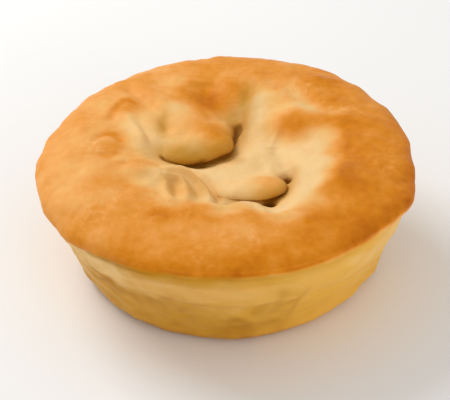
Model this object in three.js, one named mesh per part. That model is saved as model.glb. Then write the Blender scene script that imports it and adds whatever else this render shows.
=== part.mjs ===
// A round beef and mushroom pie, baked in a deep dish and turned out of it.
// It is one sheet of pastry: a tapered wall with a soft ledge round it, carried up and over into a
// puffed ring, whose middle is gathered into overlapping tongues with slits under their edges.
// The pie is uncut, so it is one solid right through.
//
// Millimetres and degrees. +Z is up and the pie stands on Z = 0, with the origin at its foot's centre.
// +X is to the right and +Y away from the side that the tongues' free edges face.
import * as THREE from "three";

// ---- Driving dimensions ----
const rimRadius = 58.9; // mean, where the puffed top rolls over the dish's edge
const crestRadius = 40; // where the ring is highest
const crestHeight = 42.1;
const middleHeight = 36.6; // floor of the gathered middle
const middleRadius = 6; // of that floor, before it slopes up to the crest
const rollPower = 0.93; // 1 would roll the ring over in a true quarter ellipse, less is fuller

const seamHeight = 34.9; // the tuck below the rim, where the dish's edge was
const seamTilt = { rise: 1.4, toward: -48 };
const seamDip = { depth: 3.8, angle: 214, spread: 25 }; // the rim hangs lower here
const lipRound = 2; // underside of the rim
const groove = { depth: 0.7, width: 1, shallowest: -15 };

const wallTopRadius = 59.1; // at wallTopHeight, on the wall's straight line
const wallTopHeight = 33.8;
const footRadius = 46.8; // the same line carried down to the table
const footRound = 6.5;
const ledge = { height: 21.3, step: 1.2, sway: 1.7, highest: 258, wave: 0.7 };

const sides = 96; // points round each ring

// The rim isn't a true circle: each wave swings it in and out, this many times a turn.
const rimWaves = [
  { count: 1, size: 0.6, turn: 162 },
  { count: 2, size: 0.6, turn: 24 },
  { count: 3, size: 1.0, turn: -129 },
  { count: 5, size: 0.3, turn: -167 },
  { count: 6, size: 0.2, turn: -28 },
  { count: 8, size: 0.2, turn: -25 },
  { count: 9, size: 0.3, turn: -30 },
];
const rimBulge = { out: 1.5, angle: 343, spread: 13 };

// Where the wall bulges (out > 0) or sinks: [angle, height] and how far that spreads.
const wallBumps = [
  { at: [336, 25], spread: [20, 6], out: 0.4 },
  { at: [347, 6], spread: [12, 7], out: 2.4 },
  { at: [300, 6], spread: [18, 7], out: -0.7 },
  { at: [265, 6], spread: [20, 7], out: -0.5 },
  { at: [205, 14], spread: [22, 8], out: 0.5 },
  { at: [221, 3], spread: [11, 6], out: -0.6 },
  { at: [130, 34], spread: [35, 14], out: -2.6 }, // keeps the wall's top in under the rim
  { at: [6, 36], spread: [20, 10], out: -1.7 },
];

// ---- Relief of the top, in plan ----
// Mounds are smooth swellings (height > 0) or hollows (height < 0).
const mounds = [
  { at: [-14, 12], size: [11, 9], height: 1.6 }, // body of the left tongue
  { at: [21.8, 17.7], size: [7, 6.5], height: 2.4 }, // browned hump, back right
  { at: [36, -17], size: [13, 11], height: 1.2 }, // swollen right of the ring
  { at: [-42, -12], size: [14, 18], height: 0.9 }, // swollen left of the ring
  { at: [-38, 1], size: [4.5, 4], height: 1 }, // blister, left
  { at: [-32, 25], size: [4.5, 4], height: 0.8 }, // blister, back left
  { at: [10, 4], size: [7, 8], height: 0.8 }, // smooth dough between the tongues
  { at: [-1, -27], size: [3.2, 2.4], height: -1.2 }, // hollow in front of the front tongue
  { at: [15, -29.5], size: [6, 4.2], height: -1.9 }, // dough that slopes down to its tip
  { at: [2.4, 13.8], size: [1.2, 3.6], height: -2.3 }, // pit beside the left tongue's tip
  { at: [3.5, 18.6], size: [1.9, 3.6], height: -2.5 }, // and on behind it
  { at: [18.8, -11.2], size: [1.4, 2.4], height: -3.4 }, // pit behind the front tongue's tip
  { at: [13.2, -24.2], size: [2, 1.9], height: -3.4 }, // pit in front of it
];

// Strokes are ridges (height > 0) or creases (height < 0) along a bent line.
const strokes = [
  { line: [[-23, 25], [-14, 19], [-5.3, 10], [0.6, 5]], width: 5, height: 1.6 }, // left tongue's back
  {
    line: [[-34, 38], [-30.5, 32], [-26, 25], [-22.4, 20], [-19.8, 14.5], [-19.6, 9.5]],
    width: 2.4,
    height: -1.7, // crease left of the left tongue
  },
  { line: [[-27, -4], [-27.5, 4], [-29, 11], [-33, 18]], width: 2.6, height: 0.8 },
  { line: [[-7, 38], [-6.5, 33], [-3.3, 28], [2, 20]], width: 4.6, height: -2.2 }, // trough, back
  {
    line: [[11, 36.5], [16.6, 37], [20.9, 34], [24.3, 28.4], [27.2, 23], [31, 20.6], [38, 19.5]],
    width: 3,
    height: -1.1, // groove between the ring and the hump
  },
  { line: [[15, 10], [22, 7.5], [31, 2], [39, -4]], width: 4.4, height: -1.8 }, // valley, right
  { line: [[19, -6], [16.8, 0], [14.5, 6]], width: 2.6, height: -1 },
  { line: [[-14, -33], [-6, -30.5], [1, -29.5], [8, -28.5]], width: 2.6, height: 1 },
  {
    line: [[2, -28], [7.5, -26.8], [10.4, -30], [13.5, -35], [20, -36], [27, -40]],
    width: 1.3,
    height: 0.6, // inner edge of the front of the ring
  },
  { line: [[-32, -9], [-20, -9.8], [-8, -9], [4, -11.5], [14, -15.5]], width: 4.4, height: 1.6 },
  // pleats of the crumpled dough, front left
  { line: [[-13, -6.5], [-8, -10.5], [-5.2, -15], [-3.6, -20], [-2.6, -25]], width: 1.3, height: -1.3 },
  {
    line: [[-19, -8.8], [-13.5, -8.6], [-9.2, -11.5], [-7, -16], [-5.8, -21], [-5, -27]],
    width: 1.3,
    height: 1.1,
  },
  { line: [[-19, -10.8], [-14, -10.5], [-11, -13.5], [-9.6, -18.5], [-8.8, -25]], width: 1.2, height: -1 },
  { line: [[-20, -12.8], [-16, -12.2], [-13.4, -14.5], [-12.6, -19], [-12.2, -27]], width: 1.3, height: 1.1 },
  { line: [[-17, -13.5], [-16.2, -18], [-15.6, -24.5]], width: 1.4, height: -1.1 },
  { line: [[-22, -14], [-19, -16.5], [-18.7, -21.5], [-16.5, -28]], width: 1.4, height: 0.9 },
  { line: [[-34, -1], [-28, -2], [-21, -4]], width: 1.1, height: -0.5 },
  { line: [[-32, -13], [-26, -12.7], [-20, -11.6]], width: 1.8, height: 0.7 },
  { line: [[-33, -9], [-27, -9], [-20, -8.8]], width: 1.1, height: -0.5 },
  // wrinkles beside the left tongue
  { line: [[-32, 16], [-29, 10], [-26, 5]], width: 1.1, height: 0.6 },
  { line: [[-29, 17], [-26.6, 11], [-24.6, 6]], width: 1.2, height: -0.5 },
  // arcs round the two blisters
  { line: [[-42, 1.5], [-41, 5], [-38, 6.8], [-34.6, 5.6], [-33, 2]], width: 1.3, height: -0.7 },
  { line: [[-34, -3], [-36.5, -5.2], [-40, -5]], width: 1.3, height: -0.6 },
  { line: [[-37.6, 15], [-36, 21.5], [-32.4, 25.6], [-28.6, 23.6]], width: 1.4, height: -0.8 },
];

// Folds: the dough on the left of each line is lifted, and its edge laps over what lies on the right.
// Reach is how far behind its edge the dough is lifted, and nose how far back the edge is rounded.
// A fold rises and fades over the shares in ends.
const folds = [
  {
    line: [[-22, 5], [-20, -0.2], [-15.2, -1.3], [-8.8, 0.1], [-3.4, 2.4],
      [0.5, 4.8], [1, 8], [1, 12.5], [1.6, 18], [2.6, 24]],
    lap: 2.6, lift: 3, drop: 2.1, softness: 1.6, reach: 9, nose: 9, ends: [0.3, 0.66], // left tongue
  },
  {
    line: [[-12, -7], [-8.2, -12], [-4.6, -17.9], [-0.5, -21.9], [5, -22.9], [9.5, -22.7],
      [13.2, -21.8], [16.7, -20], [17.5, -16.8], [16.7, -12], [15.8, -7], [15.2, -2]],
    lap: 2.6, lift: 1.9, drop: 2.3, softness: 1.6, reach: 9, nose: 6.5, ends: [0.6, 0.6], // front tongue
  },
  {
    line: [[9, 38], [7.2, 32], [6.2, 26], [5.8, 20], [4.9, 11], [4.4, 3]],
    lap: 0.9, lift: 1.5, drop: 0.9, softness: 1.9, reach: 6, nose: 4, ends: [0.25, 0.6], // right of the pit
  },
  {
    line: [[17.2, 1], [19, -4.2], [20.9, -8.5], [20.9, -13], [20, -18], [18, -22.5], [15.5, -26]],
    lap: 0.9, lift: 0.9, drop: 0.5, softness: 1.5, reach: 4.5, nose: 2.5, ends: [0.5, 0.5], // round the tip
  },
];
const noseShare = 0.7; // of a fold's lift that is lost over its rounded nose

const radians = THREE.MathUtils.degToRad;
const degrees = THREE.MathUtils.radToDeg;
const mix = THREE.MathUtils.lerp;
const clamp01 = (value) => THREE.MathUtils.clamp(value, 0, 1);
const smooth = (from, to, value) => {
  const share = clamp01((value - from) / (to - from));
  return share * share * (3 - 2 * share);
};
const bell = (offset) => Math.exp(-(offset ** 2));
const turnBetween = (a, b) => Math.abs(THREE.MathUtils.euclideanModulo(a - b + 180, 360) - 180);

// ---- Bent lines ----
const stepsOf = (line, count) =>
  new THREE.SplineCurve(line.map(([x, y]) => new THREE.Vector2(x, y))).getPoints(count);
for (const stroke of strokes) stroke.steps = stepsOf(stroke.line, 14);
for (const fold of folds) fold.steps = stepsOf(fold.line, 40);

// Every step of a line as seen from a place: how far the place is off it, on which side, and how far
// along the line.
function stepsFrom(steps, x, y) {
  return steps.slice(1).map((to, i) => {
    const from = steps[i];
    const [tx, ty] = [to.x - from.x, to.y - from.y];
    const share = clamp01(((x - from.x) * tx + (y - from.y) * ty) / (tx * tx + ty * ty));
    const [offX, offY] = [x - from.x - share * tx, y - from.y - share * ty];
    const distance = Math.hypot(offX, offY);
    const signed = tx * offY - ty * offX < 0 ? distance : -distance; // right of the line is above 0
    return { distance, signed, offX, offY, along: (i + share) / (steps.length - 1) };
  });
}
const nearestOf = (seen) => seen.reduce((best, step) => (step.distance < best.distance ? step : best));

// ---- Relief ----
const strokeTaper = 0.28; // share of a stroke over which either end fades

function reliefHeight(x, y) {
  let height = 0;
  for (const { at, size, height: rise } of mounds)
    height += rise * bell((x - at[0]) / size[0]) * bell((y - at[1]) / size[1]);
  for (const { steps, width, height: rise } of strokes) {
    const { distance, along } = nearestOf(stepsFrom(steps, x, y));
    const fromEnd = Math.min(along, 1 - along) + strokeTaper * 0.43;
    height += rise * bell(distance / width) * smooth(0, strokeTaper, fromEnd);
  }
  return height;
}

// A fold's strength fades to nothing at its ends. Steps that are about as near as the nearest share the
// say, so that the dough behind a sharply bent edge stays smooth.
const sayFade = 1.2; // millimetres
function foldStrength(seen, nearest, ends) {
  let total = 0;
  let strength = 0;
  for (const { distance, along } of seen) {
    const say = Math.exp((nearest.distance - distance) / sayFade);
    total += say;
    strength += say * smooth(0, ends[0], along) * smooth(1, ends[1], along);
  }
  return strength / total;
}

// How the folds move a place: an edge moves out over its slit, the dough behind it rises to a rounded
// nose, and the slit's floor sinks and moves in under the edge.
function foldShift(x, y) {
  const shift = [0, 0, 0];
  for (const { steps, lap, lift, drop, softness, reach, nose, ends } of folds) {
    const seen = stepsFrom(steps, x, y);
    const nearest = nearestOf(seen);
    const strength = foldStrength(seen, nearest, ends);
    const across = nearest.signed / softness;
    const pull = lap * strength * Math.exp(0.5 - across ** 2 / 2) * (across > 0 ? 0.5 : 1);
    const front = nearest.signed - pull * across - (lap - softness); // past the moved edge if above 0
    const onNose = across > -1 ? 1 : clamp01(front / nose + 1);
    const rounded = 1 - noseShare * (1 - Math.sqrt(1 - onNose ** 2));
    const behind = bell(Math.min(0, nearest.signed) / reach) * (0.5 - 0.5 * Math.tanh(1.5 * (across + 0.9)));
    const pocket = bell((across - 0.9) / 2);
    shift[0] -= (pull * nearest.offX) / softness;
    shift[1] -= (pull * nearest.offY) / softness;
    shift[2] += strength * (lift * behind * rounded - drop * pocket);
  }
  return shift;
}

// ---- Rim, seam and wall, as the angle round the pie (in radians) goes ----
function rimAt(angle) {
  let radius = rimRadius + rimBulge.out * bell(turnBetween(degrees(angle), rimBulge.angle) / rimBulge.spread);
  for (const { count, size, turn } of rimWaves) radius += size * Math.sin(count * angle + radians(turn));
  return radius;
}

function seamAt(angle) {
  const tilt = seamTilt.rise * Math.cos(angle - radians(seamTilt.toward));
  const dip = seamDip.depth * bell(turnBetween(degrees(angle), seamDip.angle) / seamDip.spread);
  return seamHeight + tilt - dip - 0.2 * Math.sin(2 * angle) + 0.2 * Math.cos(3 * angle + 0.5);
}

// The wall slopes in to the foot. Its upper band stands proud above a ledge that sways up and down.
function wallRadius(angle, height) {
  const line = mix(footRadius, wallTopRadius, height / wallTopHeight);
  const sway = ledge.sway * Math.cos(2 * (angle - radians(ledge.highest))) + ledge.wave * Math.sin(5 * angle);
  const ledgeHeight = ledge.height + sway;
  const band = ledge.step * (smooth(ledgeHeight - 1.6, ledgeHeight + 1.2, height) - 1);
  let dents = 0.35 * Math.sin(4 * angle + 1) * Math.sin((height / wallTopHeight) * Math.PI);
  for (const { at, spread, out } of wallBumps)
    dents += out * bell(turnBetween(degrees(angle), at[0]) / spread[0]) * bell((height - at[1]) / spread[1]);
  return line + band + dents;
}

// ---- The surface, ring by ring, from the middle of the top to the middle of the foot ----
const middleRings = 24; // fine, over the gathered folds
const middleReach = 33;
const rimRings = 11; // over the puffed ring
const lipShares = [0.62, 0.3, 0.1]; // down the lip, from its widest point to the seam
const seamRises = [0, -0.9, -2.2]; // millimetres above the seam
const wallShares = [0.12, 0.24, 0.34, 0.42, 0.5, 0.58, 0.7, 0.85]; // from there to the foot's rounding
const footRings = 5;
const quarterTurn = Math.PI / 2;

const polar = (angle, radius, height) => [radius * Math.cos(angle), radius * Math.sin(angle), height];

// The middle slopes up to the ring's crest, under the relief of its folds.
function middlePoint(angle, radius) {
  const [x, y] = polar(angle, radius, 0);
  const [dx, dy, dz] = foldShift(x, y);
  const plain = mix(middleHeight, crestHeight, smooth(middleRadius, crestRadius, radius));
  return [x + dx, y + dy, plain + reliefHeight(x, y) + dz];
}

// From the crest to the widest point the section is nearly a quarter of an ellipse.
function rimPoint(angle, turn) {
  const radius = mix(crestRadius, rimAt(angle), Math.sin(turn) ** rollPower);
  const [x, y] = polar(angle, radius, 0);
  const fade = Math.max(0, Math.cos(turn));
  const height = mix(seamAt(angle) + lipRound, crestHeight, fade ** rollPower);
  return [x, y, height + reliefHeight(x, y) * fade];
}

// Below the widest point the lip rolls in to the wall, with a groove where the two meet.
function sidePoint(angle, height) {
  const overSeam = height - seamAt(angle);
  const roll = Math.sqrt(1 - (1 - clamp01(overSeam / lipRound)) ** 2);
  const deep = groove.depth * (0.5 - 0.5 * Math.cos(angle - radians(groove.shallowest)));
  const tuck = deep * bell(overSeam / groove.width);
  return polar(angle, mix(wallRadius(angle, height), rimAt(angle), roll) - tuck * (1 - roll), height);
}

function footPoint(angle, turn) {
  const radius = wallRadius(angle, footRound) - footRound * (1 - Math.cos(turn));
  return polar(angle, radius, footRound * (1 - Math.sin(turn)));
}

function pieRings() {
  const rings = [];
  const addRing = (place) => {
    const ring = [];
    for (let side = 0; side < sides; side++) ring.push(place((side / sides) * 2 * Math.PI));
    rings.push(ring);
  };
  for (let i = 1; i <= middleRings; i++)
    addRing((angle) => middlePoint(angle, (i / middleRings) * middleReach));
  addRing((angle) => middlePoint(angle, (middleReach + crestRadius) / 2));
  for (let i = 0; i <= rimRings; i++) addRing((angle) => rimPoint(angle, (i / rimRings) * quarterTurn));
  for (const share of lipShares) addRing((angle) => sidePoint(angle, seamAt(angle) + share * lipRound));
  for (const rise of seamRises) addRing((angle) => sidePoint(angle, seamAt(angle) + rise));
  for (const share of wallShares)
    addRing((angle) => sidePoint(angle, mix(seamAt(angle) + seamRises.at(-1), footRound, share)));
  for (let i = 0; i < footRings; i++)
    addRing((angle) => footPoint(angle, (i / (footRings - 1)) * quarterTurn));
  return rings;
}

// A closed body: a fan at either pole and a band of triangle pairs between each ring and the next.
function solidFromRings(topPole, rings, bottomPole) {
  const positions = [topPole, ...rings.flat(), bottomPole].flat();
  const faces = [];
  const at = (ring, side) => 1 + ring * sides + (side % sides);
  const lastPoint = 1 + rings.length * sides;
  for (let side = 0; side < sides; side++) {
    faces.push(0, at(0, side), at(0, side + 1));
    for (let ring = 0; ring + 1 < rings.length; ring++) {
      faces.push(at(ring, side), at(ring + 1, side), at(ring + 1, side + 1));
      faces.push(at(ring, side), at(ring + 1, side + 1), at(ring, side + 1));
    }
    faces.push(at(rings.length - 1, side), lastPoint, at(rings.length - 1, side + 1));
  }
  const geometry = new THREE.BufferGeometry();
  geometry.setAttribute("position", new THREE.Float32BufferAttribute(positions, 3));
  geometry.setIndex(faces);
  geometry.computeVertexNormals();
  return geometry;
}

const pastry = new THREE.MeshStandardMaterial({ color: 0xd89a52, roughness: 0.6, metalness: 0 });
const pie = new THREE.Mesh(solidFromRings(middlePoint(0, 0), pieRings(), [0, 0, 0]), pastry);
pie.name = "pie";

export default new THREE.Group().add(pie);
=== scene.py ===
# A round savoury pie for one, turned out of its dish. One fine pastry surface stands for the plain
# solid: a tapered wall with a soft ledge, a puffed browned ring, and a middle of overlapping folds.
import math

import bpy
import numpy as np
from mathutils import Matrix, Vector


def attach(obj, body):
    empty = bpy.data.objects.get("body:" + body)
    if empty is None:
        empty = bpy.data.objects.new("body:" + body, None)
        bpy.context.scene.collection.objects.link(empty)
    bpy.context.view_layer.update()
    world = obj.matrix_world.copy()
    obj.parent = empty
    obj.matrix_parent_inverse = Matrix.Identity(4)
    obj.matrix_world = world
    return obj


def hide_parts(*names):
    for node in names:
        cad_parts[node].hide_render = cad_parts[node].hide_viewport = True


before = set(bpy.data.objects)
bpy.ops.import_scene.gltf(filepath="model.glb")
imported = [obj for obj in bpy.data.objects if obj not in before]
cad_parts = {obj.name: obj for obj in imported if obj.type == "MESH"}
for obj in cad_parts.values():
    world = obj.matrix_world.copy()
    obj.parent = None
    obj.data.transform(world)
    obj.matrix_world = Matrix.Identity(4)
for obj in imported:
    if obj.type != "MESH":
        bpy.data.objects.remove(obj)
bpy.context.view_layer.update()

mm = 0.001  # the pie's shape is worked out in millimetres and made in metres


def smooth(start, end, value):
    # an S-curve from 0 to 1
    share = np.clip((value - start) / (end - start), 0, 1)
    return share * share * (3 - 2 * share)


def mix(a, b, share):
    # a straight blend from a to b
    return a + (b - a) * share


def bell(offset):
    # 1 in the middle, and e to the power of minus the offset squared away from it
    return np.exp(-(offset**2))


def patchAt(x, y, middle, sizes):
    # a bell along x times a bell along y
    return bell((x - middle[0]) / sizes[0]) * bell((y - middle[1]) / sizes[1])


def turnBetween(a, b):
    # degrees between two turns, the short way round
    return np.abs((a - b + 180) % 360 - 180)


def randomWaves(x, y, z, size, seed, count=36):
    # the sum of plane waves in directions that the seed draws, with lengths about size; its spread
    # is about 1
    draw = np.random.default_rng(seed)
    ways = draw.normal(size=(count, 3))
    ways /= np.linalg.norm(ways, axis=1, keepdims=True)
    ways *= 2 * math.pi / (size * draw.uniform(0.65, 1.5, (count, 1)))
    starts = draw.uniform(0, 2 * math.pi, count)
    total = 0 * x
    for way, start in zip(ways, starts):
        total = total + np.cos(way[0] * x + way[1] * y + way[2] * z + start)
    return total * math.sqrt(2 / count)


def bentLine(line, steps):
    # a smooth curve through the points, with a tangent at each that runs between its neighbours
    points = np.array(line, float)
    last = len(points) - 1
    place = np.linspace(0, last, steps + 1)
    start = np.minimum(place.astype(int), last - 1)
    share = (place - start)[:, None]
    before, a = points[np.maximum(start - 1, 0)], points[start]
    b, after = points[start + 1], points[np.minimum(start + 2, last)]
    leave, arrive = (b - before) / 2, (after - a) / 2
    cubic = (2 * a - 2 * b + leave + arrive) * share**3
    square = (3 * b - 3 * a - 2 * leave - arrive) * share**2
    return cubic + square + leave * share + a


def stepsFrom(steps, x, y):
    # every step of a line seen from each place: distance, distance with a sign that is positive on
    # the right, share of the line, and the offset along x and y
    start, way = steps[:-1], np.diff(steps, axis=0)
    length = np.hypot(way[:, 0], way[:, 1])
    fromX, fromY = x[..., None] - start[:, 0], y[..., None] - start[:, 1]
    share = np.clip((fromX * way[:, 0] + fromY * way[:, 1]) / length**2, 0, 1)
    offX, offY = fromX - share * way[:, 0], fromY - share * way[:, 1]
    distance = np.hypot(offX, offY)
    right = way[:, 0] * offY - way[:, 1] * offX < 0
    along = (np.arange(len(start)) + share) / len(start)
    return distance, np.where(right, distance, -distance), along, offX, offY


def nearestOf(distance, *others):
    # what the nearest step says
    best = distance.argmin(-1)[..., None]
    return [np.take_along_axis(part, best, -1)[..., 0] for part in (distance, *others)]


def lineAt(x, y, line, width, fade):
    # a bell of the distance from a bent line, which fades over a share of it at either end, less
    # the part of that fade which is skipped
    distances, _, along, _, _ = stepsFrom(bentLine(line, steps=14), x, y)
    distance, along = nearestOf(distances, along)
    share, skipped = fade
    return bell(distance / width) * smooth(0, share, np.minimum(along, 1 - along) + skipped)


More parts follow.
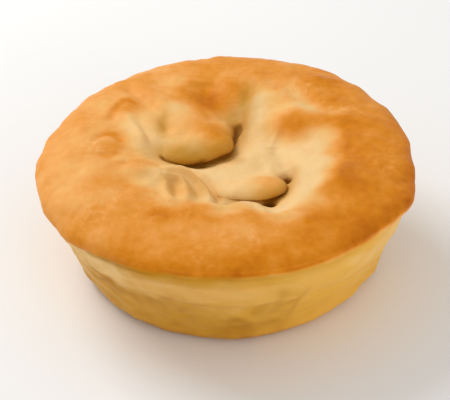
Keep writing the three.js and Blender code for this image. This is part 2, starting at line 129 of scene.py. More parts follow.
# The pie's shape: angles are in degrees round +Z from +X, places are [x, y] in plan, and heights
# are from the foot up.
pie = {
    "rimRadius": 58.9,  # mean, where the puffed top rolls over
    "crestRadius": 40.0,  # where the ring is highest
    "crestHeight": 42.1,
    "middleHeight": 36.6,  # floor of the gathered middle
    "middleRadius": 6.0,
    "rollPower": 0.93,  # 1 rolls the rim over as an ellipse, and less makes it fuller
    "seamHeight": 34.9,  # tuck below the rim
    "seamTilt": {"rise": 1.4, "toward": -48},
    "seamDip": {"depth": 3.8, "angle": 214, "spread": 25},  # sag at the front left
    "seamWave": 0.2,
    "lipRound": 2.0,
    "groove": {"depth": 0.7, "width": 1.0, "shallowest": -15},
    "wallTopRadius": 59.1,
    "wallTopHeight": 33.8,
    "wallWave": 0.35,
    "footRadius": 46.8,
    "footRound": 6.5,
    # the band above the ledge stands out by a step, which starts below the ledge and ends above it
    "ledge": {
        "height": 21.3, "sway": 1.7, "highest": 258, "wave": 0.7,
        "step": 1.2, "below": 1.6, "above": 1.2,
    },
    # swings of the rim in and out: [times a turn, size, turn]
    "rimWaves": [
        [1, 0.6, 162], [2, 0.6, 24], [3, 1.0, -129], [5, 0.3, -167],
        [6, 0.2, -28], [8, 0.2, -25], [9, 0.3, -30],
    ],
    "rimBulge": {"out": 1.5, "angle": 343, "spread": 13},
    # bulges and dents of the wall: [angle, height], spread of each, how far out
    "wallBumps": [
        [[336, 25], [20, 6], 0.4],
        [[347, 6], [12, 7], 2.4],
        [[300, 6], [18, 7], -0.7],
        [[265, 6], [20, 7], -0.5],
        [[205, 14], [22, 8], 0.5],
        [[221, 3], [11, 6], -0.6],
        [[130, 34], [35, 14], -2.6],
        [[6, 36], [20, 10], -1.7],
    ],
    # smooth swellings and hollows: place, half sizes, height
    "mounds": [
        [[-14, 12], [11, 9], 1.6],  # body of the left tongue
        [[21.8, 17.7], [7, 6.5], 2.4],  # browned hump, back right
        [[36, -17], [13, 11], 1.2],  # swollen right of the ring
        [[-42, -12], [14, 18], 0.9],  # swollen left of the ring
        [[-38, 1], [4.5, 4], 1.0],  # blister, left
        [[-32, 25], [4.5, 4], 0.8],  # blister, back left
        [[10, 4], [7, 8], 0.8],  # smooth dough between the tongues
        [[-1, -27], [3.2, 2.4], -1.2],  # hollow in front of the front tongue
        [[15, -29.5], [6, 4.2], -1.9],  # dough that slopes down to that tongue's tip
    ],
    # pits, with painted shade dark to the bottom: place, half sizes, depth
    "pits": [
        [[2.4, 13.8], [1.2, 3.6], 2.3],  # beside the left tongue's tip
        [[3.5, 18.6], [1.9, 3.6], 2.5],  # behind it
        [[18.8, -11.2], [1.4, 2.4], 3.4],  # behind the front tongue's tip
        [[13.2, -24.2], [2.0, 1.9], 3.4],  # in front of it
    ],
    "pitDark": 3.2,  # depth from which a pit's painted shade is full
    # ridges and creases along bent lines: line, width, height
    "strokes": [
        # back left: ridge that runs into the left tongue, crease left of it, and low ridge beyond
        [[[-23, 25], [-14, 19], [-5.3, 10], [0.6, 5]], 5.0, 1.6],
        [[[-34, 38], [-30.5, 32], [-26, 25], [-22.4, 20], [-19.8, 14.5], [-19.6, 9.5]], 2.4, -1.7],
        [[[-27, -4], [-27.5, 4], [-29, 11], [-33, 18]], 2.6, 0.8],
        # back and right: valley down to the rear pits, and grooves behind the browned hump, in
        # front of it, and behind the front tongue's tip
        [[[-7, 38], [-6.5, 33], [-3.3, 28], [2, 20]], 4.6, -2.2],
        [[[11, 36.5], [16.6, 37], [20.9, 34], [24.3, 28.4], [27.2, 23], [31, 20.6], [38, 19.5]],
         3.0, -1.1],
        [[[15, 10], [22, 7.5], [31, 2], [39, -4]], 4.4, -1.8],
        [[[19, -6], [16.8, 0], [14.5, 6]], 2.6, -1.0],
        # front: the ring's inner edge, a thin ridge out from the front pit, and the front
        # tongue's back
        [[[-14, -33], [-6, -30.5], [1, -29.5], [8, -28.5]], 2.6, 1.0],
        [[[2, -28], [7.5, -26.8], [10.4, -30], [13.5, -35], [20, -36], [27, -40]], 1.3, 0.6],
        [[[-32, -9], [-20, -9.8], [-8, -9], [4, -11.5], [14, -15.5]], 4.4, 1.6],
        # crumpled dough at the front left
        [[[-13, -6.5], [-8, -10.5], [-5.2, -15], [-3.6, -20], [-2.6, -25]], 1.3, -1.3],
        [[[-19, -8.8], [-13.5, -8.6], [-9.2, -11.5], [-7, -16], [-5.8, -21], [-5, -27]], 1.3, 1.1],
        [[[-19, -10.8], [-14, -10.5], [-11, -13.5], [-9.6, -18.5], [-8.8, -25]], 1.2, -1.0],
        [[[-20, -12.8], [-16, -12.2], [-13.4, -14.5], [-12.6, -19], [-12.2, -27]], 1.3, 1.1],
        [[[-17, -13.5], [-16.2, -18], [-15.6, -24.5]], 1.4, -1.1],
        [[[-22, -14], [-19, -16.5], [-18.7, -21.5], [-16.5, -28]], 1.4, 0.9],
        # short wrinkles left of the tongues
        [[[-34, -1], [-28, -2], [-21, -4]], 1.1, -0.5],
        [[[-32, -13], [-26, -12.7], [-20, -11.6]], 1.8, 0.7],
        [[[-33, -9], [-27, -9], [-20, -8.8]], 1.1, -0.5],
        [[[-32, 16], [-29, 10], [-26, 5]], 1.1, 0.6],
        # arcs round the two blisters, and a wrinkle beside the crease
        [[[-42, 1.5], [-41, 5], [-38, 6.8], [-34.6, 5.6], [-33, 2]], 1.3, -0.7],
        [[[-34, -3], [-36.5, -5.2], [-40, -5]], 1.3, -0.6],
        [[[-37.6, 15], [-36, 21.5], [-32.4, 25.6], [-28.6, 23.6]], 1.4, -0.8],
        [[[-29, 17], [-26.6, 11], [-24.6, 6]], 1.2, -0.5],
    ],
    "strokeFade": [0.28, 0.1204],  # share of a stroke over which either end fades, and the skip
    # folds: dough on the left of a line is lifted, and its edge laps over what lies on the right.
    # lap is how far the edge moves out, lift how far the dough behind it rises, and drop how far
    # the slit sinks; softness is how far from the line all this works, reach how far back the lift
    # goes, and nose how long the rounded front is; ends are the shares of the line over which the
    # fold comes and goes, and moist and dark are its amounts, on the line's first and last part, of
    # moist dough with painted shade beside the slit and of painted shade in the slit
    "folds": [
        # left tongue
        {"line": [[-22, 5], [-20, -0.2], [-15.2, -1.3], [-8.8, 0.1], [-3.4, 2.4],
                  [0.5, 4.8], [1, 8], [1, 12.5], [1.6, 18], [2.6, 24]],
         "lap": 2.6, "lift": 3.0, "drop": 2.1, "softness": 1.6, "reach": 9.0, "nose": 9.0,
         "ends": [0.3, 0.66], "moistAndShade": [1.0, 0.45], "dark": [1.0, 1.0]},
        # front tongue
        {"line": [[-12, -7], [-8.2, -12], [-4.6, -17.9], [-0.5, -21.9], [5, -22.9], [9.5, -22.7],
                  [13.2, -21.8], [16.7, -20], [17.5, -16.8], [16.7, -12], [15.8, -7], [15.2, -2]],
         "lap": 2.6, "lift": 1.9, "drop": 2.3, "softness": 1.6, "reach": 9.0, "nose": 6.5,
         "ends": [0.6, 0.6], "moistAndShade": [1.0, 0.6], "dark": [0.6, 1.0]},
        # dough right of the rear pits
        {"line": [[9, 38], [7.2, 32], [6.2, 26], [5.8, 20], [4.9, 11], [4.4, 3]],
         "lap": 0.9, "lift": 1.5, "drop": 0.9, "softness": 1.9, "reach": 6.0, "nose": 4.0,
         "ends": [0.25, 0.6], "moistAndShade": [1.0, 1.0], "dark": [1.0, 1.0]},
        # dough right of the front tongue
        {"line": [[17.2, 1], [19, -4.2], [20.9, -8.5], [20.9, -13], [20, -18], [18, -22.5],
                  [15.5, -26]],
         "lap": 0.9, "lift": 0.9, "drop": 0.5, "softness": 1.5, "reach": 4.5, "nose": 2.5,
         "ends": [0.5, 0.5], "moistAndShade": [1.0, 1.0], "dark": [1.0, 1.0]},
    ],
    "noseShare": 0.7,  # of a fold's lift that is lost over its rounded nose
    "sayFade": 1.2,  # how soon a farther step of a fold's line loses its say
    "floorShare": 0.5,  # of an edge's lap that the slit's floor moves in under it
    # across a fold, in its softness: where its brow falls and how sharply, where its slit is
    # deepest, and over which stretches the slit's painted shade and the moist dough's olive and
    # painted shade come and go
    "brow": {"at": -0.9, "steepness": 1.5},
    "pocket": {"at": 0.9, "width": 2.0},
    "slitComes": [-2.3, -0.2],
    "slitGoes": [2.5, 0.5],
    "moistGoes": [3, 0.5],
    # along a fold, as shares of it: where its first amounts of painted slit shade and of moist
    # dough with painted shade give way to its last
    "darkChange": [0.4, 0.6],
    "moistChange": [0.2, 0.7],
    "slitDark": 2.4,  # drop of a fold whose slit's painted shade is full
    "slitDamp": 2.267,  # lift of a fold beside whose slit the moist dough's olive and painted shade are full
    # relief finer than the solid's: how far it moves the skin, and how long its waves are
    "lumps": {"height": 0.18, "size": 12.0},
    "dimples": {"height": 0.07, "size": 5.5},
    "grain": {"height": 0.018, "size": 1.9},
    "wallStreaks": {"height": 0.09, "size": [9.0, 3.2]},
    "blisters": {"count": 90, "height": [0.1, 0.32], "radius": [0.8, 2.2], "between": [37, 56]},
    # crackled patches of crust, none of them in the middle: place, half sizes
    "crackles": {
        "height": 0.28, "size": 4.5, "width": 0.4, "startsBetween": [24, 34],
        "places": [
            [[3, 41], [6, 5]], [[-36, 19], [7, 9]], [[-41, -1], [6, 6]], [[-18, -33], [8, 7]],
            [[-7, -54], [5, 3]], [[8, -47], [9, 5]], [[25, 33], [9, 6]], [[38, 21], [9, 6]],
            [[49, -8], [6, 9]], [[-38, -31], [8, 8]],
        ],
    },
    # points round a ring, and rings over each stretch from the middle of the top to the foot
    "sides": 420,
    "rings": {"middle": 90, "slope": 8, "rim": 46, "lip": 10, "tuck": 6, "wall": 36, "foot": 10},
    "fineReach": 33,  # radius of the closely ringed middle
    "tuckDepth": 2.2,  # closely ringed stretch of wall below the seam
}


def reliefHeight(x, y):
    # the sum of bells round each mound and across each stroke
    height = 0 * x
    for middle, sizes, rise in pie["mounds"]:
        height = height + rise * patchAt(x, y, middle, sizes)
    for line, width, rise in pie["strokes"]:
        height = height + rise * lineAt(x, y, line, width, pie["strokeFade"])
    return height


def foldShift(x, y):
    # a point near a fold's line moves away from it by its distance times a bell of that, so that
    # the edge laps over the slit; the dough behind rises by a bell with a rounded nose, and the
    # slit's floor sinks by a bell, as each pit does
    moveX, moveY, moveZ, depth, dampAndShade = 0 * x, 0 * x, 0 * x, 0 * x, 0 * x
    brow, pocket = pie["brow"], pie["pocket"]
    for fold in pie["folds"]:
        lift, drop, softness = fold["lift"], fold["drop"], fold["softness"]
        steps = stepsFrom(bentLine(fold["line"], steps=40), x, y)
        distances, allAlong = steps[0], steps[2]
        say = np.exp((distances.min(-1, keepdims=True) - distances) / pie["sayFade"])
        rise, fall = fold["ends"]
        ends = smooth(0, rise, allAlong) * smooth(1, fall, allAlong)
        strength = (say * ends).sum(-1) / say.sum(-1)
        _, side, along, offX, offY = nearestOf(*steps)
        across = side / softness

        shape = np.exp(0.5 - across**2 / 2) * np.where(across > 0, pie["floorShare"], 1)
        lap = fold["lap"] * strength * shape
        front = side - lap * across - (fold["lap"] - softness)
        nose = np.where(across > -1, 1, np.clip(front / fold["nose"] + 1, 0, 1))
        edge = 0.5 - 0.5 * np.tanh(brow["steepness"] * (across - brow["at"]))
        raised = bell(np.minimum(0, side) / fold["reach"]) * edge
        raised = raised * (1 - pie["noseShare"] * (1 - np.sqrt(1 - nose**2)))
        sunk = bell((across - pocket["at"]) / pocket["width"])
        moveX = moveX - lap * offX / softness
        moveY = moveY - lap * offY / softness
        moveZ = moveZ + strength * (lift * raised - drop * sunk)

        # how much painted shade the slit gets, and how much olive and painted shade the moist dough
        # beside it gets
        inSlit = smooth(*pie["slitComes"], across) * smooth(*pie["slitGoes"], across)
        dark = mix(*fold["dark"], smooth(*pie["darkChange"], along)) * drop / pie["slitDark"]
        depth = np.maximum(depth, strength * inSlit * dark)
        moistAndShade = np.minimum(1, nose * strength * lift / pie["slitDamp"])
        moistAndShade = moistAndShade * mix(*fold["moistAndShade"], smooth(*pie["moistChange"], along))
        dampAndShade = np.maximum(dampAndShade, moistAndShade * smooth(*pie["moistGoes"], across))
    for middle, sizes, deep in pie["pits"]:
        pit = patchAt(x, y, middle, sizes)
        moveZ = moveZ - deep * pit
        # a pit is painted with shade toward its bottom
        depth = np.maximum(depth, smooth(0.1, 0.7, pit) * min(1, deep / pie["pitDark"]))
    return moveX, moveY, moveZ, depth, dampAndShade


def rimAt(angle):
    # a circle that swings in and out by a sum of sines, with one bell
    swings = [
        size * np.sin(count * angle + math.radians(turn)) for count, size, turn in pie["rimWaves"]
    ]
    bulge = pie["rimBulge"]
    out = bulge["out"] * bell(turnBetween(np.degrees(angle), bulge["angle"]) / bulge["spread"])
    return pie["rimRadius"] + sum(swings) + out


def seamAt(angle):
    # a tilted circle's height, with two small waves and one sag
    tilt, dip = pie["seamTilt"], pie["seamDip"]
    rise = tilt["rise"] * np.cos(angle - math.radians(tilt["toward"]))
    hang = dip["depth"] * bell(turnBetween(np.degrees(angle), dip["angle"]) / dip["spread"])
    waves = pie["seamWave"] * (np.cos(3 * angle + 0.5) - np.sin(2 * angle))
    return pie["seamHeight"] + rise - hang + waves


def ledgeAt(angle):
    # a height that sways twice a turn, with a small wave
    ledge = pie["ledge"]
    sway = ledge["sway"] * np.cos(2 * (angle - math.radians(ledge["highest"])))
    return ledge["height"] + sway + ledge["wave"] * np.sin(5 * angle)


def wallRadius(angle, height):
    # a straight taper, with its upper band standing proud, waved and dented
    ledge, bend = pie["ledge"], ledgeAt(angle)
    share = height / pie["wallTopHeight"]
    line = mix(pie["footRadius"], pie["wallTopRadius"], share)
    proud = smooth(bend - ledge["below"], bend + ledge["above"], height)
    dents = pie["wallWave"] * np.sin(4 * angle + 1) * np.sin(share * math.pi)
    for (turn, rise), (wide, tall), out in pie["wallBumps"]:
        away = turnBetween(np.degrees(angle), turn) / wide
        dents = dents + out * bell(away) * bell((height - rise) / tall)
    return line + ledge["step"] * (proud - 1) + dents


def middlePoint(angle, radius):
    # the middle slopes up to the ring's crest by an S-curve, under the relief of its folds
    x, y = radius * np.cos(angle), radius * np.sin(angle)
    moveX, moveY, moveZ, depth, dampAndShade = foldShift(x, y)
    slope = smooth(pie["middleRadius"], pie["crestRadius"], radius)
    plain = mix(pie["middleHeight"], pie["crestHeight"], slope)
    return x + moveX, y + moveY, plain + reliefHeight(x, y) + moveZ, depth, dampAndShade


def rimPoint(angle, turn):
    # nearly a quarter of an ellipse, from the crest to the widest point
    radius = mix(pie["crestRadius"], rimAt(angle), np.sin(turn) ** pie["rollPower"])
    x, y = radius * np.cos(angle), radius * np.sin(angle)
    fade = np.maximum(0, np.cos(turn))
    lip = seamAt(angle) + pie["lipRound"]
    height = mix(lip, pie["crestHeight"], fade ** pie["rollPower"]) + reliefHeight(x, y) * fade
    return x, y, height, 0 * x, 0 * x


def sidePoint(angle, height):
    # the lip rolls in to the wall by a quarter circle, with a groove where the two meet
    groove = pie["groove"]
    over = height - seamAt(angle)
    roll = np.sqrt(1 - (1 - np.clip(over / pie["lipRound"], 0, 1)) ** 2)
    deep = groove["depth"] * (0.5 - 0.5 * np.cos(angle - math.radians(groove["shallowest"])))
    tuck = deep * bell(over / groove["width"])
    radius = mix(wallRadius(angle, height), rimAt(angle), roll) - tuck * (1 - roll)
    # the groove's share of its full depth is also the painted shade in it
    return radius * np.cos(angle), radius * np.sin(angle), height, tuck / groove["depth"], 0 * tuck


def footPoint(angle, turn):
    # a quarter circle from the wall in to the flat foot
    rounding = pie["footRound"]
    radius = wallRadius(angle, rounding) - rounding * (1 - np.cos(turn))
    height = rounding * (1 - np.sin(turn))
    return radius * np.cos(angle), radius * np.sin(angle), height, 0 * radius, 0 * radius


def column(count, first, last):
    # even steps from first to last, one for each ring
    return np.linspace(first, last, count)[:, None]


def pieGrid():
    # rows are rings from the middle of the top to the foot, and columns go round; each point is
    # [x, y, z, painted shade of slits, pits and the seam's groove, moist dough with painted shade]
    angle = np.linspace(0, 2 * math.pi, pie["sides"], endpoint=False)[None, :]
    rings, reach, crest = pie["rings"], pie["fineReach"], pie["crestRadius"]
    seam, lip, rounding = seamAt(angle), pie["lipRound"], pie["footRound"]
    quarter = math.pi / 2
    top = [
        middlePoint(angle, column(rings["middle"] + 1, 0, reach)[1:]),
        middlePoint(angle, column(rings["slope"], reach, crest)[1:-1]),
        rimPoint(angle, column(rings["rim"], 0, quarter)),
    ]
    belowSeam = seam + column(rings["tuck"], 0, -pie["tuckDepth"])
    down = column(rings["wall"], 0, 1)[1:-1]
    side = [
        sidePoint(angle, seam + lip * np.sin(column(rings["lip"], quarter, 0)[1:-1])),
        sidePoint(angle, belowSeam),
        sidePoint(angle, mix(belowSeam[-1], rounding, down)),
        footPoint(angle, column(rings["foot"], 0, quarter)),
    ]
    spread = [np.stack(np.broadcast_arrays(*part), -1) for part in (*top, *side)]
    topRings = sum(len(part) for part in spread[: len(top)])
    return np.concatenate(spread), angle, topRings


def outward(grid):
    # the cross product of the steps round a ring and down the rings
    across = np.roll(grid, -1, axis=1) - np.roll(grid, 1, axis=1)
    down = np.gradient(grid, axis=0)
    normal = np.cross(down, across)
    return normal / np.maximum(np.linalg.norm(normal, axis=-1, keepdims=True), 1e-9)


def crackleAt(x, y, z):
    # thin meandering lines, where a sum of waves crosses 0, inside bells round the crackled places
    crackles = pie["crackles"]
    inside = 0 * x
    for middle, sizes in crackles["places"]:
        inside = np.maximum(inside, patchAt(x, y, middle, sizes))
    line = smooth(crackles["width"], 0, np.abs(randomWaves(x, y, z, crackles["size"], 41)))
    return inside * line * smooth(*crackles["startsBetween"], np.hypot(x, y))


def fineRelief(grid, wall, crackle):
    # waves for lumps, dimples and grain everywhere, long waves for streaks that run round the wall,
    # and on the top bells for blisters, and raised crackle lines
    x, y, z = np.moveaxis(grid, -1, 0)
    total = 0 * x
    for seed, name in enumerate(("lumps", "dimples", "grain"), start=1):
        part = pie[name]
        total = total + part["height"] * randomWaves(x, y, z, part["size"], seed)
    streaks = pie["wallStreaks"]
    long, short = streaks["size"]
    total = total + streaks["height"] * wall * randomWaves(x / long, y / long, z / short, 1, 7)
    blisters = pie["blisters"]
    draw = np.random.default_rng(11)
    count = blisters["count"]
    turns = draw.uniform(0, 2 * math.pi, count)
    reaches = draw.uniform(*blisters["between"], count)
    heights = draw.uniform(*blisters["height"], count)
    radii = draw.uniform(*blisters["radius"], count)
    bumps = 0 * x
    for turn, reach, height, radius in zip(turns, reaches, heights, radii):
        away = np.hypot(x - reach * math.cos(turn), y - reach * math.sin(turn))
        bumps = bumps + height * bell(away / radius)
    return total + (bumps + pie["crackles"]["height"] * crackle) * (1 - wall)


# How far each place is baked: 0 is pale dough, and 1 is deep brown crust.
bake = {
    # radius at which the pale middle gives way to the browned ring: [angle, radius]
    "paleEdge": [
        [0, 33], [30, 33], [60, 38], [90, 25], [112, 22], [138, 31], [160, 34], [182, 31],
        [200, 30], [216, 33], [235, 33], [252, 31], [270, 31.5], [285, 34], [300, 40],
        [310, 39.5], [322, 35], [340, 34],
    ],
    "edgeWaves": {"by": 1.1, "size": 11},
    "edgeBlend": [5.0, 6.5],  # millimetres inside and outside of it
    "ring": 0.7,
    "deeperToward": {"angle": -22, "by": 0.2},
    # places baked more or less than the rest: place, half sizes, by how much
    "spots": [
        [[21.5, 15], [8, 5.5], 0.85],  # hump, back right
        # the valley's deep brown is partly painted shade
        [[-5.5, 29], [5.5, 8], 0.52],  # valley behind the left tongue
        [[-36, -1], [5, 4], 0.28],  # blister, left
        [[-32, 22], [4, 4], 0.2],  # blister, back left
        [[-2.5, 9], [5.5, 7.5], 0.6],  # tip of the left tongue
        [[-14, 12], [13, 10], 0.3],  # its body
        [[13.6, -18.5], [6, 7], 0.55],  # tip of the front tongue
        [[-14, -20], [9, 8], 0.2],  # crumpled dough, front left
        [[4, -44], [17, 7], -0.2],
        [[17, 26], [7, 6], 0.22],  # behind the browned hump
        [[-12, -36], [9, 5], 0.16],
        [[-27, -6], [7, 5], 0.3],
        [[-8, 16], [6, 8], 0.15],
        [[38, 19], [8, 5], -0.22],
        [[-48, -12], [9, 14], -0.16],
        [[30, -20], [5, 6], -0.12],
        [[-7, -43], [9, 6], -0.14],
        [[51, -3], [7, 10], -0.22],
        [[24, -53], [11, 6], -0.16],
        [[-21, -34], [6, 5], 0.22],
        [[-28, 38], [8, 6], 0.14],
        [[12, 30], [8, 6], 0.13],
        [[-25, -10.5], [5, 4], 0.22],
        [[-12, -17], [9, 6], 0.06],
        [[-32, -47], [7, 5], 0.14],
    ],
    # pale or browned streaks along bent lines: line, width, by how much
    "streaks": [
        [[[11, 36.5], [16.6, 37], [20.9, 34], [24.3, 28.4], [27.2, 23], [31, 20.6], [38, 19.5]],
         3.4, -0.22],
        [[[-14, -7], [-9.5, -11], [-7, -15], [-5.5, -19], [-3, -23]], 1.6, 0.16],
        [[[-42, 1.5], [-41, 5], [-38, 6.8], [-34.6, 5.6], [-33, 2]], 1.8, 0.2],
        [[[-34, -3], [-36.5, -5.2], [-40, -5]], 1.8, 0.18],
        [[[-37.6, 15], [-36, 21.5], [-32.4, 25.6], [-28.6, 23.6]], 1.9, 0.22],
        [[[-30, 24], [-24, 27], [-19, 33], [-16, 40]], 3.0, -0.14],
        [[[-36, -14], [-28, -14], [-20, -12]], 2.2, -0.1],
        [[[11.5, 37], [9.5, 31], [8.5, 24], [7.5, 17]], 4.2, -0.2],
    ],
    "streakFade": [0.2, 0.08],
    # places where the dough is darker olive, partly moist dough and partly painted shade in
    # creases, valleys and under the tongues' lips: place, half sizes, by how much
    "moistAndShade": [
        [[-16.6, -18], [2.4, 6], 0.5],  # pleat in the crumpled dough
        [[-9, -18], [5, 7], 0.55],
        [[-16, -15], [7, 4], 0.4],
        [[-20.6, 15], [2.0, 6], 0.8],  # crease left of the left tongue
        [[-15.5, 1], [9, 4.6], 1.0],  # below it, along the tongue's edge
        [[0, -26.5], [5, 2.6], 0.7],  # in front of the front tongue
        [[3, 0], [3, 2.2], 0.5],
        [[2.4, 21.5], [4, 6], 0.9],  # valley down to the deep pit
        [[9, -3], [2.5, 5], 0.25],
    ],
    # painted shadow lines, as dark as a slit: line, width, how much
    "paintedShadowLines": [
        [[[-21.4, 1], [-19.9, -1.9], [-15.4, -3], [-9.5, -1.8], [-4, 0.8]], 1.15, 1.0],
    ],
    "slitFade": [0.25, 0.05],
    # wall places that are darker or, below 0, paler: [angle, height], half sizes, by how much
    "wallSpots": [
        [[226, 16], [9, 4], 0.85],
        [[249, 18], [10, 6], 0.75],
        [[273, 9], [11, 6], 0.95],
        [[289, 18], [4, 8], 0.55],
        [[304, 10], [9, 6], 0.1],
        [[200, 22], [15, 15], -0.6],
        [[222, 29], [14, 5], -0.7],
        [[234, 29], [8, 5], -0.35],
        # the paler places at 338 and 320 degrees partly paint a highlight
        [[338, 27], [14, 12], -0.6],
        [[320, 28], [9, 6], -0.35],
    ],
    # how far waves bend a wall spot's edge round the wall and up it, and the waves' sizes
    "spotBend": {"turn": [4, 9], "height": [1.5, 7]},
    # the wall's general mottling, most of which is lost on its yellowest side
    "wallMottle": {"by": 0.065, "size": 12, "paler": 0.7, "lost": 0.7, "spread": 60},
    "yellowest": 335,  # turn of the wall's yellowest side
    "yellowSpread": 55,
    "wallBlend": [1.2, -0.2],  # height over the seam at which the top's skin becomes the wall's
    # height over the seam at which the crust starts and is whole: [elsewhere, yellowest side]
    "crustFrom": [-0.6, -1.3],
    "crustWhole": [0.7, 3.6],
    "crustSpread": 40,
    "crustWaves": {"by": 0.18, "size": 9},
    # the darker lip partly paints the shade under the rim's rolled edge
    "lip": {"by": 0.22, "from": 6.0, "full": 1.0},  # extra on the rim's edge, just over the seam
    # the paler crackle lines paint small highlights
    "crackle": 0.2,  # less along a crackle's lines
    "crown": 0.06,  # extra for each millimetre that a place stands above its neighbours
}


def bakedAmount(grid, over, relief):
    # pale inside the edge radius and browned outside it by an S-curve, plus spots, streaks, a
    # darker lip that partly paints the shade under the rim, darker crowns, and fading out at the
    # seam
    x, y = grid[..., 0], grid[..., 1]
    turn, radius = np.degrees(np.arctan2(y, x)) % 360, np.hypot(x, y)
    turns, radii = np.array(bake["paleEdge"], float).T
    waves = bake["edgeWaves"]
    edge = np.interp(turn, turns, radii, period=360)
    edge = edge + waves["by"] * randomWaves(x, y, 0 * x, waves["size"], 21)
    inner, outer = bake["edgeBlend"]
    deeper = bake["deeperToward"]
    ring = bake["ring"] + deeper["by"] * np.cos(np.radians(turn - deeper["angle"]))
    amount = ring * smooth(edge - inner, edge + outer, radius)
    for middle, sizes, by in bake["spots"]:
        amount = amount + by * patchAt(x, y, middle, sizes)
    for line, width, by in bake["streaks"]:
        amount = amount + by * lineAt(x, y, line, width, bake["streakFade"])
    lip = bake["lip"]
    onRim = smooth(pie["crestRadius"], pie["crestRadius"] + 10, radius)
    amount = amount + lip["by"] * smooth(lip["from"], lip["full"], over) * onRim
    amount = amount + bake["crown"] * relief
    soft = bell(turnBetween(turn, bake["yellowest"]) / bake["crustSpread"])
    waves = bake["crustWaves"]
    wavy = over + waves["by"] * randomWaves(x, y, 0 * x, waves["size"], 22)
    return amount * smooth(mix(*bake["crustFrom"], soft), mix(*bake["crustWhole"], soft), wavy)


def wallShade(x, y, z, turn):
    # waves, and bells round each spot with their edges bent by waves
    (along, alongSize), (up, upSize) = bake["spotBend"]["turn"], bake["spotBend"]["height"]
    bentTurn = turn + along * randomWaves(x, y, z, alongSize, 31)
    bentHeight = z + up * randomWaves(x, y, z, upSize, 32)
    mottle = bake["wallMottle"]
    lost = mottle["lost"] * bell(turnBetween(turn, bake["yellowest"]) / mottle["spread"])
    waves = randomWaves(x, y, 2 * z, mottle["size"], 33) - mottle["paler"]
    shade = mottle["by"] * (1 - lost) * waves
    for (midTurn, midHeight), (wide, tall), by in bake["wallSpots"]:
        away = turnBetween(bentTurn, midTurn) / wide
        shade = shade + by * bell(away) * bell((bentHeight - midHeight) / tall)
    return shade


def pieSurface():
    # the grid moved out along its normals by the fine relief, and what the material reads at each
    # of its points
    spread, angle, topRings = pieGrid()
    grid, depth, dampAndShade = spread[..., :3], spread[..., 3], spread[..., 4]
    x, y, z = np.moveaxis(grid, -1, 0)
    over = z - seamAt(angle)
    onTop = np.arange(len(grid))[:, None] < topRings - 1  # all but the rim's last ring
    over = np.where(onTop, np.maximum(over, 3), over)  # so that no deep pit counts as wall
    wall = smooth(*bake["wallBlend"], over)
    crackle = crackleAt(x, y, z)
    relief = fineRelief(grid, wall, crackle)
    near = smooth(0.2, 3.0, z)  # the foot stays flat
    grid = grid + outward(grid) * (relief * near)[..., None]
    # olive of moist dough, partly painted shade in creases, in valleys and under lips
    for middle, sizes, by in bake["moistAndShade"]:
        dampAndShade = np.maximum(dampAndShade, by * patchAt(x, y, middle, sizes) * (1 - wall))
    # a painted shadow line along the left tongue's lower edge
    for line, width, by in bake["paintedShadowLines"]:
        dark = by * lineAt(x, y, line, width, bake["slitFade"])
        depth = np.maximum(depth, dark * (1 - wall))
    turn = np.degrees(angle) + 0 * z
    # the dark of slits, pits and the seam's groove is painted shade, and the damp olive is moist
    # dough with painted shade
    amounts = {
        # less baked along crackle lines, which paints small highlights
        "baked": bakedAmount(grid, over, relief) - bake["crackle"] * crackle * (1 - wall),
        "paintedRecessShade": depth,
        "dampAndShade": dampAndShade,
        "wall": wall,
        "underSeam": -over,
        "yellow": bell(turnBetween(turn, bake["yellowest"]) / bake["yellowSpread"]),
        "shade": wallShade(x, y, z, turn),
    }
    return grid, amounts


def pieMesh():
    # four-sided faces between the rings, closed by a fan of triangles at the top and at the foot
    grid, amounts = pieSurface()
    rings, sides = grid.shape[:2]
    points = np.concatenate([grid[0].mean(0)[None], grid.reshape(-1, 3), [[0, 0, 0]]]) * mm
    ring = 1 + np.arange(rings - 1)[:, None] * sides
    side = np.arange(sides)
    after = (side + 1) % sides
    quads = np.stack([ring + side, ring + sides + side, ring + sides + after, ring + after], -1)
    lastRing, lastPoint = 1 + (rings - 1) * sides, 1 + rings * sides
    top = np.stack([0 * side, 1 + side, 1 + after], -1)
    bottom = np.stack([lastRing + side, 0 * side + lastPoint, lastRing + after], -1)
    faces = quads.reshape(-1, 4).tolist() + top.tolist() + bottom.tolist()
    mesh = bpy.data.meshes.new("pie")
    mesh.from_pydata(points.tolist(), [], faces)
    mesh.polygons.foreach_set("use_smooth", np.ones(len(mesh.polygons), bool))
    for name, values in amounts.items():
        layer = mesh.attributes.new(name, "FLOAT", "POINT")
        first, last = values[0].mean(), values[-1].mean()
        everywhere = np.concatenate([[first], values.reshape(-1), [last]])
        layer.data.foreach_set("value", everywhere.astype(np.float32))
    mesh.update()
    return mesh


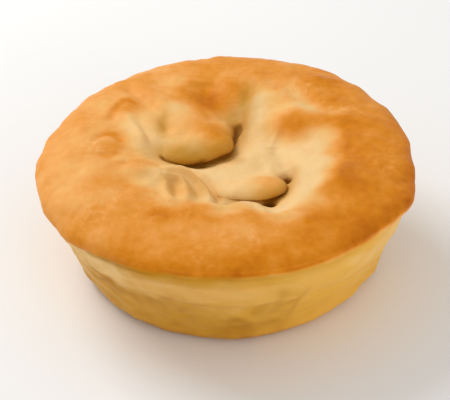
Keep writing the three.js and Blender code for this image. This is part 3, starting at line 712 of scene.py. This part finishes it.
# The pastry's colours, sRGB from 0 to 255, and its finish; sizes are in millimetres.
look = {
    # dough to crust, by how far it is baked
    "crust": [
        [0.0, (244, 204, 144)], [0.2, (241, 189, 117)], [0.35, (240, 177, 99)],
        [0.5, (237, 163, 82)], [0.65, (231, 150, 56)], [0.85, (219, 132, 24)],
        [1.15, (190, 100, 5)],
    ],
    # wall from the seam to the foot, by how many millimetres it is below the seam; its dark olive
    # top few millimetres are painted shadow under the rim
    "wall": [
        [0, (200, 142, 40)], [2.5, (204, 150, 58)], [5, (224, 172, 92)], [10, (222, 170, 88)],
        [14, (212, 160, 72)], [25, (208, 152, 52)], [34, (196, 136, 40)],
    ],
    "wallYellow": (238, 180, 72),
    "wallBrown": (176, 116, 22),
    "wallPale": (246, 208, 144),
    # painted shade at the bottom of slits, pits and the seam's groove
    "slit": (132, 78, 8),
    # olive of moist dough, also used as painted shade under lips, in creases and in slits
    "olive": (190, 130, 12),
    "blotch": {"size": 11.0, "by": 0.16},
    "fleck": {"size": 2.6, "by": 0.06},
    # shifts the wall's colours up and down it, least near the seam
    "wallStreak": {"size": 7.0, "by": 5.0, "least": 0.08, "from": 3, "full": 14, "flatter": 1.8},
    "bump": {"fine": 0.7, "coarse": 2.4, "coarseShare": 1.5, "depth": 0.07},
    "crustRoughness": 0.46,
    "doughRoughness": 0.58,
    "roughSpread": {"size": 3.0, "by": 0.06},
    "sheen": {"colour": (255, 214, 150), "strength": 0.18},
    "glow": {"share": 0.12, "reach": (1.0, 0.5, 0.2), "depth": 2.0},  # light inside the dough
}


def paint(colour):
    # sRGB to the linear values that a shader takes
    share = np.array(colour) / 255
    linear = np.where(share <= 0.04045, share / 12.92, ((share + 0.055) / 1.055) ** 2.4)
    return (*linear, 1)


def addNode(tree, kind, inputs, **settings):
    # a socket given as an input is linked, and anything else is its value
    node = tree.nodes.new("ShaderNode" + kind)
    for name, value in settings.items():
        setattr(node, name, value)
    for key, value in inputs.items():
        if isinstance(value, bpy.types.NodeSocket):
            tree.links.new(value, node.inputs[key])
        else:
            node.inputs[key].default_value = value
    return node


def pastryMaterial():
    # crust by how far a place is baked, wall colours by the depth below the seam, and over both
    # the olive of moist dough with painted shade and the painted shade of slits, pits and groove
    material = bpy.data.materials.new("bakedPastry")
    material.use_nodes = True
    tree = material.node_tree
    shader = tree.nodes["Principled BSDF"]
    place = addNode(tree, "TexCoord", {}).outputs["Object"]

    def attribute(name):
        return addNode(tree, "Attribute", {}, attribute_name=name).outputs["Fac"]

    def combine(operation, a, b):
        return addNode(tree, "Math", {0: a, 1: b}, operation=operation).outputs[0]

    def remap(value, low, high, first, last):
        inputs = {
            "Value": value, "From Min": low, "From Max": high, "To Min": first, "To Max": last,
        }
        return addNode(tree, "MapRange", inputs).outputs[0]

    def blend(share, a, b):
        inputs = {0: share, 6: a, 7: b}  # the node's sockets for a factor and two colours
        return addNode(tree, "Mix", inputs, data_type="RGBA").outputs[2]

    def noise(size, detail, vector=place):
        inputs = {
            "Vector": vector, "Scale": 1 / (size * mm), "Detail": detail, "Roughness": 0.55,
        }
        return addNode(tree, "TexNoise", inputs).outputs["Fac"]

    def noiseAbout(part, detail, vector=place):
        # noise, which mostly lies between 0.3 and 0.7, made to lie about 0 by the part's amount
        return remap(noise(part["size"], detail, vector), 0.3, 0.7, -part["by"], part["by"])

    def colourRamp(value, stops):
        # a colour ramp over the stops' own values
        last = stops[-1][0]
        ramp = addNode(tree, "ValToRGB", {"Fac": combine("DIVIDE", value, last)})
        elements = ramp.color_ramp.elements
        for position, colour in stops[1:-1]:
            elements.new(position / last).color = paint(colour)
        elements[0].color = paint(stops[0][1])
        elements[len(elements) - 1].color = paint(stops[-1][1])
        return ramp.outputs["Color"]

    baked, paintedRecessShade, dampAndShade = attribute("baked"), attribute("paintedRecessShade"), attribute("dampAndShade")
    under, shade, yellow = attribute("underSeam"), attribute("shade"), attribute("yellow")

    varied = combine("ADD", noiseAbout(look["blotch"], 3), noiseAbout(look["fleck"], 4))
    varied = combine("MULTIPLY", varied, remap(baked, 0.1, 0.6, 0.35, 1))
    crust = colourRamp(combine("ADD", baked, varied), look["crust"])

    part = look["wallStreak"]
    flat = addNode(tree, "Mapping", {"Vector": place, "Scale": (1, 1, part["flatter"])}).outputs[0]
    near = remap(under, part["from"], part["full"], part["least"], 1)
    streak = combine("MULTIPLY", noiseAbout(part, 3, flat), near)
    wallColour = colourRamp(combine("ADD", under, streak), look["wall"])
    wallColour = blend(remap(yellow, 0.1, 0.85, 0, 0.85), wallColour, paint(look["wallYellow"]))
    wallColour = blend(remap(shade, 0, 1, 0, 0.8), wallColour, paint(look["wallBrown"]))
    wallColour = blend(remap(shade, 0, -1, 0, 0.8), wallColour, paint(look["wallPale"]))

    skin = blend(attribute("wall"), crust, wallColour)
    # olive of moist dough with painted shade, then olive and dark brown as painted shade in slits,
    # pits and the seam's groove
    skin = blend(remap(dampAndShade, 0, 1, 0, 0.85), skin, paint(look["olive"]))
    skin = blend(remap(paintedRecessShade, 0, 0.45, 0, 0.5), skin, paint(look["olive"]))
    skin = blend(remap(paintedRecessShade, 0.45, 0.95, 0, 1), skin, paint(look["slit"]))
    tree.links.new(skin, shader.inputs["Base Color"])

    rough = remap(baked, 0.2, 0.8, look["doughRoughness"], look["crustRoughness"])
    rough = combine("ADD", rough, noiseAbout(look["roughSpread"], 3))
    tree.links.new(rough, shader.inputs["Roughness"])
    bump = look["bump"]
    coarse = combine("MULTIPLY", noise(bump["coarse"], 3), bump["coarseShare"])
    grain = combine("ADD", noise(bump["fine"], 4), coarse)
    bumped = addNode(tree, "Bump", {"Height": grain, "Distance": bump["depth"] * mm, "Strength": 1})
    tree.links.new(bumped.outputs[0], shader.inputs["Normal"])
    sheen, glow = look["sheen"], look["glow"]
    shader.inputs["Specular IOR Level"].default_value = sheen["strength"]
    shader.inputs["Specular Tint"].default_value = paint(sheen["colour"])
    shader.inputs["Subsurface Weight"].default_value = glow["share"]
    shader.inputs["Subsurface Radius"].default_value = glow["reach"]
    shader.inputs["Subsurface Scale"].default_value = glow["depth"] * mm
    return material


# The studio: places and sizes are in metres, and the floor's colour is sRGB.
studio = {
    "looksDown": 36.9,  # degrees
    "distance": 0.650,  # from the target
    "target": (0, 0, 0.020),
    "pixelsPerMetre": 3115,  # at the target
    "frame": (450, 400),
    "targetPixel": (227.0, 202.7),
    "world": 0.6,
    "key": {"place": (-0.50, 0.45, 0.62), "size": 0.5, "power": 4.6},
    "fill": {"place": (0.60, -0.80, 0.22), "size": 0.7, "power": 3.0},
    "floor": {"colour": (246, 245, 243), "roughness": 0.8, "half": 3.0, "below": 0.0002},
}


def addCamera():
    # looks straight along +Y and down, with its framing kept by a small shift
    tilt, away = math.radians(studio["looksDown"]), studio["distance"]
    wide, tall = studio["frame"]
    pixelX, pixelY = studio["targetPixel"]
    data = bpy.data.cameras.new("camera")
    data.sensor_width = 36
    data.lens = data.sensor_width * studio["pixelsPerMetre"] * away / wide
    data.shift_x, data.shift_y = (wide / 2 - pixelX) / wide, (pixelY - tall / 2) / wide
    camera = bpy.data.objects.new("camera", data)
    camera.location = Vector(studio["target"]) + away * Vector((0, -math.cos(tilt), math.sin(tilt)))
    camera.rotation_euler = (math.pi / 2 - tilt, 0, 0)
    bpy.context.collection.objects.link(camera)
    bpy.context.scene.camera = camera


def addLight(name):
    # a square lamp that faces the target
    light = studio[name]
    data = bpy.data.lights.new(name, "AREA")
    data.size, data.energy = light["size"], light["power"]
    lamp = bpy.data.objects.new(name, data)
    lamp.location = light["place"]
    facing = Vector(studio["target"]) - lamp.location
    lamp.rotation_euler = facing.to_track_quat("-Z", "Y").to_euler()
    bpy.context.collection.objects.link(lamp)


def addFloor():
    # one square, a hair below the foot
    plain = studio["floor"]
    half = plain["half"]
    ways = (-1, -1), (1, -1), (1, 1), (-1, 1)
    corners = [(wayX * half, wayY * half, -plain["below"]) for wayX, wayY in ways]
    mesh = bpy.data.meshes.new("floor")
    mesh.from_pydata(corners, [], [(0, 1, 2, 3)])
    material = bpy.data.materials.new("paleFloor")
    material.use_nodes = True
    shader = material.node_tree.nodes["Principled BSDF"]
    shader.inputs["Base Color"].default_value = paint(plain["colour"])
    shader.inputs["Roughness"].default_value = plain["roughness"]
    mesh.materials.append(material)
    floor = bpy.data.objects.new("floor", mesh)
    bpy.context.collection.objects.link(floor)


def addWorld():
    # even white light from all round
    world = bpy.data.worlds.new("studio")
    world.use_nodes = True
    background = world.node_tree.nodes["Background"]
    background.inputs["Color"].default_value = (1, 1, 1, 1)
    background.inputs["Strength"].default_value = studio["world"]
    bpy.context.scene.world = world
    bpy.context.scene.view_settings.view_transform = "Standard"


addCamera()
addLight("key")
addLight("fill")
addFloor()
addWorld()
print("stage: camera, lights and floor")

pastry = bpy.data.objects.new("piePastry", pieMesh())
bpy.context.collection.objects.link(pastry)
print("stage: pie,", len(pastry.data.polygons), "faces")
pastry.data.materials.append(pastryMaterial())
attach(pastry, "root")
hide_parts("pie")
print("stage: baked pastry")
